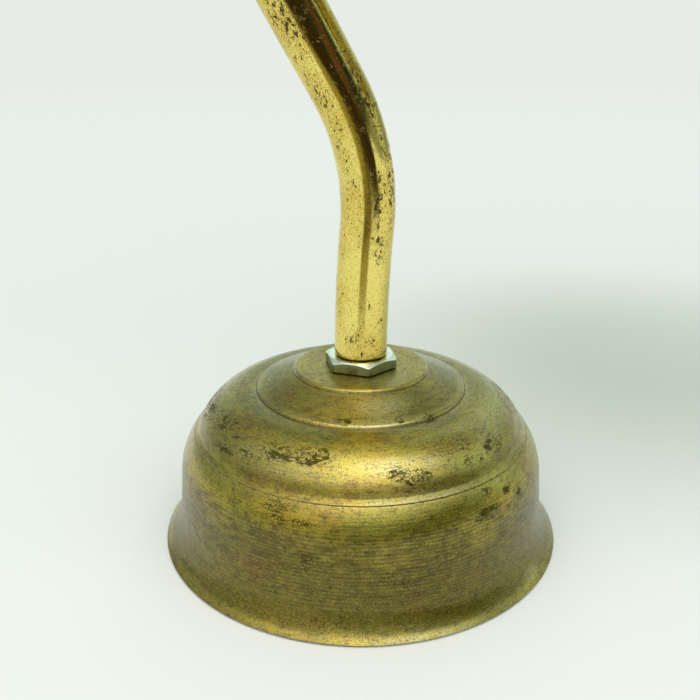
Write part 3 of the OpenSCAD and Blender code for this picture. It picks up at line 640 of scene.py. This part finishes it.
def bent_tube(name, stations, outer, inner, sides=72):
    """The tube through these stations: a little oval in the bends, with its ends eased."""
    flat = 0.02
    eased = 0.2 * mm
    spread = 6
    rings = []
    for i, (at, heading, gone, _bent) in enumerate(stations):
        near = stations[max(0, i - spread) : i + spread + 1]
        oval = flat * sum(s[3] for s in near) / len(near)
        rings.append((at, heading, gone, oval))
    first, last = rings[0], rings[-1]
    ahead_of_last = Vector((-math.sin(last[1]), 0, math.cos(last[1])))
    outside = [(first, outer - eased)]
    lifted = (first[0] + Vector((0, 0, eased)), first[1], first[2] + eased, first[3])
    outside += [(lifted, outer)] + [(r, outer) for r in rings[1:-1]]
    outside += [((last[0] - ahead_of_last * eased, last[1], last[2] - eased, last[3]), outer)]
    outside += [(last, outer - eased)]
    inside = [(r, inner) for r in rings[::-1]]
    loops = outside + inside
    points = []
    laid_out = []
    for (at, heading, gone, oval), radius in loops:
        across = Vector((math.cos(heading), 0, math.sin(heading)))
        for k in range(sides):
            a = math.tau * k / sides
            points.append(
                at + across * (radius * (1 - oval) * math.cos(a))
                + Vector((0, radius * (1 + oval / 2) * math.sin(a), 0))
            )
            laid_out += [radius / mm * math.cos(a), radius / mm * math.sin(a), gone / mm]
    count = len(loops)
    faces = [
        (
            i * sides + k,
            i * sides + (k + 1) % sides,
            (i + 1) % count * sides + (k + 1) % sides,
            (i + 1) % count * sides + k,
        )
        for i in range(count)
        for k in range(sides)
    ]
    mesh = bpy.data.meshes.new(name)
    mesh.from_pydata(points, [], faces)
    mesh.attributes.new("laid_out", "FLOAT_VECTOR", "POINT").data.foreach_set("vector", laid_out)
    work = bmesh.new()
    work.from_mesh(mesh)
    bmesh.ops.recalc_face_normals(work, faces=work.faces)
    work.to_mesh(mesh)
    work.free()
    return show(name, mesh, 40)


stations = arm_stations(arm_stretches, arm_start)
arm_tube = bent_tube("arm_tube_bent", stations, tube_r, tube_bore_r)

tube_spots = [
    (13, 43, 1.2, 2, 1), (11, 38.5, 1, 2.5, 1), (8, 36, 1.5, 2, 1), (8, 32.5, 0.8, 2, 0.9),
    (14, 29, 2.5, 1.6, 1), (27, 28, 1.4, 1.5, 1), (6, 26, 1.5, 1.2, 1), (25, 25, 2.5, 1.5, 1),
    (-45, 23.6, 5, 0.8, 0.8), (-15, 23.7, 2.5, 0.7, 0.9), (-3, 13.6, 2.2, 0.9, 1), (-15, 12, 0.8, 1.2, 1),
    (27, 10, 1.6, 0.5, 0.9), (-23, 6, 1.2, 2, 1), (-35, 4.5, 1, 1.2, 1), (-45, 5.4, 0.8, 1.2, 1),
    (8, 5, 1, 1.4, 1), (-40, 42, 1.4, 1.6, 0.7), (-38, 82, 3.5, 14, 0.5), (-50, 66, 3, 14, 0.4),
    (40, 62, 3.5, 24, 0.5), (50, 40, 3, 14, 0.5), (-50, 48, 3, 10, 0.3), (150, 60, 5, 30, 0.5),
    (-140, 90, 5, 30, 0.4), (100, 130, 6, 26, 0.4), (-60, 150, 5, 24, 0.4), (20, 190, 5, 30, 0.4),
]
spotted(arm_tube.data, "pitted", tube_spots)


def pitted_brass(name):
    material, start = new_finish(name)
    where = start.add("Attribute", {"attribute_name": "laid_out"}, {}, "Vector")
    pitted = start.add("Attribute", {"attribute_name": "pitted"}, {}, "Fac")
    cloud = drift(where, 0.06, 4, 0.6)
    fine = drift(stretched(where, 1, 1, 0.4), 2.0, 3, 0.6)
    field = drift(stretched(where, 1, 1, 0.6), 1.3, 4, 0.65)
    flecks = drift(stretched(where, 1, 1, 0.7), 4.0, 2, 0.6)
    pits = rise(field + 0.2 * pitted + 0.25 * (cloud - 0.5), 0.645, 0.67)
    freckles = rise(flecks + 0.1 * pitted + 0.2 * (cloud - 0.5), 0.52, 0.64)
    dull = rise(cloud, 0.35, 0.7)
    metal = blend(dull, tone("#f0dc7c"), tone("#e2c661"))
    freckled = blend(freckles * 0.65, metal, tone("#70551f"))
    lay(start, {
        "Base Color": blend(pits * 0.9, freckled, tone("#33260f")),
        "Metallic": 1.0 - 0.3 * pits,
        "Roughness": 0.07 + 0.05 * dull + 0.3 * pits + 0.1 * freckles,
        "Normal": relief(1 - pits, 0.08 * mm, relief(fine, 0.012 * mm)),
    })
    return material


arm_tube.data.materials.append(pitted_brass("tube_brass"))
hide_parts("arm_tube")
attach(arm_tube, "arm")


# Lampholder
# A domed brass cap screwed on the arm's nipple, with the shell that carries the shade below it. Both are
# drawn from sheet, and the shell has a rolled thread for the two shade rings.
head_at = stations[-1][0]
head = Matrix.Translation(head_at) @ Matrix.Rotation(math.pi / 2, 4, "Y")
head_nut = hex_nut("head_nut_hex", head)
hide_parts("head_nut")
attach(head_nut, "arm")

cap_hole = point(5.05, 3)
cap_top = point(8, 3)
cap_neck = point(8, 8)
cap_band = point(20.5, 20)
cap_bead = point(20.5, 40.4)
cap_lip = point(20.5, 43)
cap_hole_foot = point(5.05, 8.6)
cap_seat_r = 9 * mm
cap_side = relaxed(
    [cap_top, cap_neck]
    + arc(cap_neck, cap_band, 2.6 * mm, 24)
    + [cap_bead]
    + arc(cap_bead, cap_lip, 0.4 * mm, 10),
    crease_r,
)
cap_inside = [p for p in inset(cap_side, sheet) if p.x > cap_seat_r]
cap_outline = [cap_hole] + cap_side + cap_inside[::-1] + [cap_hole_foot]
holder_cap = turned("holder_cap_drawn", lambda angle: cap_outline, head)
cap_zones = [
    (0, 0.5, 0, 0, 0.4), (8, 0.5, 0.2, 0, 0.34), (18, 0.4, 0.1, 0.3, 0.3), (27, 0.4, 0.4, 0.3, 0.3),
    (34, 0.5, 0.1, 0.6, 0.32), (47, 0.6, 0, 0.6, 0.34), (50, 0.4, 0.4, 0, 0.3),
]
cap_laid_out = 100
cap_line_pitch = 1.1
cap_brass = spun_brass("cap_brass", cap_laid_out, cap_zones, cap_line_pitch)
holder_cap.data.materials.append(cap_brass)
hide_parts("holder_cap")
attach(holder_cap, "arm")

shell_r = 19.5 * mm
shell_low = 40 * mm
shell_high = 75 * mm
shell_pitch = 2.5 * mm
shell_thread = 0.35 * mm
shell_lip = 3 * mm
thread_run_in = 4 * mm
thread_run_out = 1.5 * mm
thread_rows = 8


def shell_outline(angle):
    rows = round((shell_high - shell_low) / shell_pitch * thread_rows)
    outline = [Vector((shell_r - sheet, shell_low))]
    for i in range(rows):
        z = shell_low + (shell_high - sheet - shell_low) * i / (rows - 1)
        ends = min(1, (z - shell_low) / thread_run_in, (shell_high - sheet - z) / thread_run_out)
        wave = 0.5 - 0.5 * math.cos(math.tau * z / shell_pitch - angle)
        outline.append(Vector((shell_r - shell_thread * wave * max(0, ends), z)))
    outline += arc(Vector((shell_r, shell_high - sheet)), Vector((shell_r - sheet, shell_high)), 0.2 * mm, 6)
    lip_r = shell_r - shell_lip
    outline += [Vector((lip_r, shell_high)), Vector((lip_r, shell_high - sheet))]
    return outline + [Vector((shell_r - sheet - shell_thread, shell_high - sheet))]


holder_shell = turned("holder_shell_threaded", shell_outline, head, steps=144)
holder_shell.data.materials.append(cap_brass)
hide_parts("holder_shell")
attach(holder_shell, "arm")


# Shade rings
# Two notched rings of dark brown moulding powder. They run on the shell's thread and pinch the shade's collar
# between them.
ring_bore = 19.55 * mm
ring_r = 25.55 * mm
ring_t = 4.4 * mm
notch_r = 2 * mm
notch_at = 26.35 * mm
notches = 12
notch_ease = math.radians(0.6)
ring_mouth = 0.4 * mm
ring_ease = 0.7 * mm
ring_bow = 0.2 * mm
ring_seats = (("upper_shade_ring", 44 * mm), ("lower_shade_ring", 49.2 * mm))


def ring_edge(angle):
    off = (angle + math.pi / notches) % (math.tau / notches) - math.pi / notches
    across = notch_at * math.sin(off)
    if abs(across) >= notch_r:
        return ring_r
    return min(ring_r, notch_at * math.cos(off) - math.sqrt(notch_r**2 - across**2))


def ring_outline(angle):
    near = [ring_edge(angle + notch_ease * k) for k in range(-3, 4)]
    edge = sum(near) / len(near)
    mouth_r = ring_bore + ring_mouth
    flat_r = edge - ring_ease
    outline = [Vector((ring_bore, ring_mouth)), Vector((mouth_r, 0)), Vector((flat_r, 0))]
    outline += arc(Vector((flat_r, 0)), Vector((edge, ring_ease)), ring_bow, 5)
    outline += [Vector((edge, ring_t - ring_ease))]
    outline += arc(Vector((edge, ring_t - ring_ease)), Vector((flat_r, ring_t)), ring_bow, 5)
    return outline + [Vector((mouth_r, ring_t)), Vector((ring_bore, ring_t - ring_mouth))]


bakelite = moulded("bakelite", "#2b1f1a", "#3d2a20", 0.16)
for node, seat in ring_seats:
    shade_ring = turned(node + "_notched", ring_outline, head @ Matrix.Translation((0, 0, seat)), 240)
    shade_ring.data.materials.append(bakelite)
    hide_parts(node)
    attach(shade_ring, "arm")


# Shade
# A bell spun in the same brass as the cup and stepped like it, but less dulled, with a flat collar for the
# rings and its mouth rolled over a wire.
collar_hole = point(19.9, 48.4)
collar = point(29, 48.4)
dome = point(29.6, 49)
waist = point(46, 61.4)
bell = point(64, 111.4)
mouth = point(73, 126.4)
wire_r = 1.2 * mm
wire_at = mouth + point(-0.5, -0.7)
shade_crease_r = 0.4 * mm
shade_side = relaxed(
    [collar_hole, collar, dome]
    + arc(dome, waist, 3.2 * mm, 20)
    + arc(waist, bell, 6 * mm, 40)
    + arc(bell, mouth, -1.8 * mm, 20),
    shade_crease_r,
)
shade_outside = [p for p in shade_side if (p - wire_at).length > wire_r]
shade_inside = [p for p in inset(shade_side, sheet) if (p - wire_at).length > wire_r and p.y < wire_at.y]
roll_from = (shade_outside[-1] - wire_at).normalized() * wire_r
roll_to = (shade_inside[-1] - wire_at).normalized() * wire_r
roll_turn = math.tau - roll_from.angle(roll_to)
roll_steps = 24
rolled = [
    wire_at + Matrix.Rotation(roll_turn * i / roll_steps, 2) @ roll_from for i in range(roll_steps + 1)
]
shade_outline = shade_outside + rolled + shade_inside[::-1]
shade = turned("shade_spun", lambda angle: shade_outline, head, steps=288)
shade_zones = [
    (0, 0.5, 0, 0.2, 0.4), (9, 0.2, 0.4, 0, 0.28), (14, 0.2, 0.1, 0.2, 0.28), (24, 0.2, 0.2, 0.2, 0.28),
    (31, 0.4, 0, 0.1, 0.3), (35, 0.15, 0.4, 0.1, 0.28), (50, 0.15, 0.1, 0.4, 0.28),
    (76, 0.25, 0, 0.5, 0.3), (88, 0.3, 0, 0.4, 0.3), (97, 0.2, 0.3, 0.1, 0.28), (104, 0.2, 0.4, 0, 0.28),
    (110, 0.3, 0.2, 0.3, 0.34), (210, 0.4, 0, 0.5, 0.36),
]
shade_laid_out = 215
shade_line_pitch = 1.3
shade_brass = spun_brass("shade_brass", shade_laid_out, shade_zones, shade_line_pitch)
shade.data.materials.append(shade_brass)
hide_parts("shade")
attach(shade, "arm")


# Switch key
# A flat key of the same dark moulding powder as the rings, with a hub in its middle, pressed on the spindle.
switch_down = 32 * mm
switch_at = head @ Matrix.Translation((0, 0, switch_down)) @ Matrix.Rotation(math.pi / 2, 4, "X")
key_in = 24.05 * mm
key_l = 15 * mm
key_half_w = 7.5 * mm
key_half_t = 2.1 * mm
key_round = 4 * mm
key_hub_r = 4.5 * mm
key_hub_l = 10.5 * mm
key_hub_taper = 0.2
key_hub_dome = 6 * mm
key_socket_r = 2.05 * mm
key_socket_l = 9.2 * mm
key_ease = 0.8 * mm
key_squareness = 6
key_join = 8


def key_reach(angle, z):
    """How far the key reaches from the spindle's axis at that angle and length."""
    past = max(0, key_round - z, z - (key_l - key_round))
    half_w = key_half_w - key_round + math.sqrt(max(0, key_round**2 - past**2))
    wide = (abs(math.cos(angle)) / half_w) ** key_squareness
    thick = (abs(math.sin(angle)) / key_half_t) ** key_squareness
    box = (wide + thick) ** (-1 / key_squareness)
    domed = max(0, z - key_hub_dome) / key_hub_dome
    hub = key_hub_r * (1 - key_hub_taper * z / key_hub_l) * math.sqrt(max(0, 1 - domed**2))
    return (box**key_join + hub**key_join) ** (1 / key_join)


def key_outline(angle):
    outline = [Vector((key_socket_r, 0))]
    rows = 30
    least_r = 0.3 * mm
    for i in range(rows + 1):
        z = key_l * (0.5 - 0.5 * math.cos(math.pi * i / rows))
        from_end = min(z, key_l - z)
        cut = max(0, key_ease - from_end)
        eased = key_ease - math.sqrt(max(0, key_ease**2 - cut**2))
        outline.append(Vector((max(least_r, key_reach(angle, z) - eased), z)))
    return outline + [Vector((0, key_l)), Vector((0, key_socket_l)), Vector((key_socket_r, key_socket_l))]


switch_key = turned(
    "switch_key_moulded", key_outline, switch_at @ Matrix.Translation((0, 0, key_in)), 144
)
switch_key.data.materials.append(bakelite)
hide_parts("switch_key")
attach(switch_key, "switch")


# Bulb
# A clear globe on a nickel-plated screw cap, with its filament rods on a glass stem. It screws into the
# lampholder and draws out through the shade's mouth.
bulb_cap_r = 13.1 * mm
bulb_cap_low = 53.2 * mm
bulb_cap_high = 73.2 * mm
bulb_pitch = 3.6 * mm
bulb_thread = 0.5 * mm
bulb_run_in = 1.5 * mm
bulb_run_out = 2.5 * mm
bulb_cap_t = 0.5 * mm


def bulb_cap_outline(angle):
    rows = 48
    outside = []
    for i in range(rows + 1):
        z = bulb_cap_low + (bulb_cap_high - bulb_cap_low) * i / rows
        ends = min(1, (z - bulb_cap_low) / bulb_run_in, (bulb_cap_high - z) / bulb_run_out)
        wave = 1 - (0.5 - 0.5 * math.cos(math.tau * z / bulb_pitch - angle)) * ends
        outside.append(Vector((bulb_cap_r - bulb_thread * wave, z)))
    return outside + [p - Vector((bulb_cap_t, 0)) for p in outside[::-1]]


bulb_cap = turned("bulb_cap_threaded", bulb_cap_outline, head, steps=144)
nickel = zinc_plate("nickel", "#d8d3c8", "#aaa498", 0.2)
bulb_cap.data.materials.append(nickel)
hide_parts("bulb_cap")
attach(bulb_cap, "bulb")
dress(nickel, "bulb_contact")
dress(moulded("black_glass", "#141418", "#1c1c20", 0.1), "bulb_insulator")

globe_r = 22.5 * mm
globe_z = 101.2 * mm
globe_join = math.radians(35)
globe_rows = 40
glass_t = 0.8 * mm
glass_foot = point(11.9, 67.2)
glass_neck = point(11.9, 73.2)


def globe(radius):
    """The globe's outline from its join with the neck to its top."""
    turns = [-globe_join + (math.pi / 2 + globe_join) * i / globe_rows for i in range(globe_rows + 1)]
    return [Vector((max(0, radius * math.cos(a)), globe_z + radius * math.sin(a))) for a in turns]


globe_side = globe(globe_r)
glass_side = [glass_foot, glass_neck] + arc(glass_neck, globe_side[0], -0.9 * mm, 12)[:-1] + globe_side
glass_inside = [p - Vector((glass_t, 0)) for p in glass_side[:2]]
glass_inside += inset(glass_side, glass_t)[2:-1]
glass_inside += [Vector((0, globe_z + globe_r - glass_t))]
glass_outline = glass_side + glass_inside[::-1]
bulb_glass = turned("bulb_glass_blown", lambda angle: glass_outline, head, steps=128)


def clear_glass(name):
    material, start = new_finish(name)
    lay(start, {
        "Base Color": tone("#f3f6f4"),
        "Roughness": 0.02,
        "Transmission Weight": 1.0,
        "IOR": 1.45,
    })
    return material


glass = clear_glass("clear_glass")
bulb_glass.data.materials.append(glass)
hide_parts("bulb_glass")
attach(bulb_glass, "bulb")
dress(glass, "bulb_stem")
dress(moulded("filament", "#e0b35a", "#c99a45", 0.5), "bulb_filament")


# Table and light
# A pale seamless table under a broad soft light from overhead and in front. A soft shadow is painted on it
# behind the lamp, and it is painted paler close in front of the cup and darker far behind. Reflections alone
# see its warm front edge and the dark room beyond. It shows from above only and is open under the cup, so
# that the underside can be looked at.
table_tone = tone("#f6f9fc")
painted_glow_tone = tone("#fafcff")
painted_falloff_tone = tone("#eaecf0")
painted_shadow_tone = tone("#d3dbd6")
edge_tone = tone("#978a45")
room_tone = tone("#33271b")
band_tone = tone("#b98060")
sky_tone = tone("#e7ece6")
dome_tone = tone("#e6faea")
soft_tone = tone("#faf9f5")
warm_tone = tone("#fdf0d8")
table_reach = 30.0
open_r = 46 * mm
open_ease = 2 * mm
table_mesh = bpy.data.meshes.new("table")
table_mesh.from_pydata(
    [(x * table_reach, y * table_reach, 0) for x, y in ((-1, -1), (1, -1), (1, 1), (-1, 1))],
    [],
    [(0, 1, 2, 3)],
)
table = bpy.data.objects.new("table", table_mesh)
bpy.context.scene.collection.objects.link(table)


def toward(azimuth, elevation):
    """The way to a place in the room, seen from the lamp. Azimuth 0 is the eye's, and 90 is on its right."""
    a = math.radians(azimuth) + eye_turn
    e = math.radians(elevation)
    return Vector((math.sin(a) * math.cos(e), -math.cos(a) * math.cos(e), math.sin(e)))


def sector(where, azimuth, inner, outer):
    """1 within the inner angle of a way over the table and 0 beyond the outer one."""
    flat = where.add("VectorMath", {"operation": "NORMALIZE"}, {0: where})
    near = where.add("VectorMath", {"operation": "DOT_PRODUCT"}, {0: flat, 1: toward(azimuth, 0)}, "Value")
    return rise(near, math.cos(math.radians(outer)), math.cos(math.radians(inner)))


table_finish, start = new_finish("table_finish")
where = start.add("TexCoord", {}, {}, "Object")
forward = start.add("VectorMath", {"operation": "DOT_PRODUCT"}, {0: where, 1: toward(0, 0)}, "Value")
distance = start.add("VectorMath", {"operation": "LENGTH"}, {0: where}, "Value")
through = start.add("LightPath", {}, {}, "Is Transmission Ray")
reflected = start.add("LightPath", {}, {}, "Is Glossy Ray") * (1 - through)
ahead = sector(where, -2, 11, 19)
warm_edge = 0.92 * ahead * rise(distance, 0.09, 0.28) * reflected
room_near = 0.9 * ahead * rise(distance, 0.3, 0.55)
room_far = sector(where, 16, 27, 36) * rise(distance, 0.32, 0.5)
beyond = room_near.maths("MAXIMUM", room_near, room_far) * reflected
# Painted shadow: the table is darkened in a soft patch behind the lamp and to its right.
painted_shadow_at = toward(138, 0) * 0.165
off_painted_shadow = start.add("VectorMath", {"operation": "SUBTRACT"}, {0: where, 1: painted_shadow_at})
from_painted_shadow = start.add("VectorMath", {"operation": "LENGTH"}, {0: off_painted_shadow}, "Value")
# Painted shade: the table is darker far behind the lamp, as if the light fell off there.
paper_with_painted_falloff = blend(rise(0 - forward, -0.1, 0.2), table_tone, painted_falloff_tone)
# Painted light: the table is paler close in front of the cup, where the cup's own shade would darken it.
paper_with_painted_glow = blend((1 - rise(distance, 0.055, 0.11)) * rise(forward, 0.0, 0.04), paper_with_painted_falloff, painted_glow_tone)
paper_with_painted_shadow = blend(1 - rise(from_painted_shadow, 0.02, 0.15), paper_with_painted_glow, painted_shadow_tone)
edged = blend(warm_edge, paper_with_painted_shadow, edge_tone)
surface = start.add("BsdfDiffuse", {}, {"Color": blend(beyond, edged, room_tone)})
see_through = start.add("BsdfTransparent", {}, {})
under = start.add("NewGeometry", {}, {}, "Backfacing")
seen = start.add("LightPath", {}, {}, "Is Camera Ray")
far_away = seen * rise(distance, 0.6, 2.0)
in_the_cup = 1 - rise(distance, open_r, open_r + open_ease)
open_parts = under.maths("MAXIMUM", under, far_away.maths("MAXIMUM", far_away, in_the_cup))
one_way = start.add("MixShader", {}, {"Fac": open_parts, 1: surface, 2: see_through})
start.add("OutputMaterial", {}, {"Surface": one_way})
table_mesh.materials.append(table_finish)

world = bpy.data.worlds.new("room")
world.use_nodes = True
world.node_tree.nodes.clear()
start = Tap(world.node_tree)
way = start.add("TexCoord", {}, {}, "Generated")


def patch(azimuth, elevation, inner, outer):
    """1 within the inner angle of a place in the room and 0 beyond the outer one."""
    middle = toward(azimuth, elevation)
    near = start.add("VectorMath", {"operation": "DOT_PRODUCT"}, {0: way, 1: middle}, "Value")
    return rise(near, math.cos(math.radians(outer)), math.cos(math.radians(inner)))


def off_line(first, second):
    """How far a way lies off the line through two places in the room."""
    side = toward(*first).cross(toward(*second)).normalized()
    off = start.add("VectorMath", {"operation": "DOT_PRODUCT"}, {0: way, 1: side}, "Value")
    return off.maths("ABSOLUTE", off)


dome_light = 0.375 + 0.4 * patch(180, 8, 20, 52) + 0.3 * patch(180, 24, 5, 16)
soft_light = 1.2 * patch(6, 68, 8, 54) + 1.1 * patch(12, 68, 6, 26)
side_light = 0.4 * patch(132, 46, 10, 32) + 0.4 * patch(88, 38, 8, 30) + 0.4 * patch(102, 15, 8, 24)
warm_light = 0.4 * patch(-42, 26, 8, 32) + 0.3 * patch(-104, 58, 12, 36) + 0.22 * patch(-80, 20, 8, 26)
off_dark = off_line((8, -10), (66, 20))
dark_side = (1 - rise(off_dark, 0.15, 0.24)) * patch(32, 4, 34, 48)
strength = (dome_light + soft_light + side_light + warm_light) * (1 - 0.93 * dark_side)
off_band = off_line((33, 0), (54, 17))
warm_band = (1 - rise(off_band, 0.025, 0.07)) * patch(42, 8, 14, 22)
seen = start.add("LightPath", {}, {}, "Is Camera Ray")
through = start.add("LightPath", {}, {}, "Is Transmission Ray")
open_view = seen.maths("MAXIMUM", seen, through)
lit = blend(rise(soft_light, 0.0, 1.2), dome_tone, soft_tone)
lit = blend(rise(warm_light, 0.0, 0.6), lit, warm_tone)
room = blend(warm_band, lit, band_tone)
sky = blend(open_view, room, sky_tone)
level = open_view + (1 - open_view) * (strength + 0.22 * warm_band)
background = start.add("Background", {}, {"Color": sky, "Strength": level})
start.add("OutputWorld", {}, {"Surface": background})
bpy.context.scene.world = world
bpy.context.scene.view_settings.view_transform = "Standard"
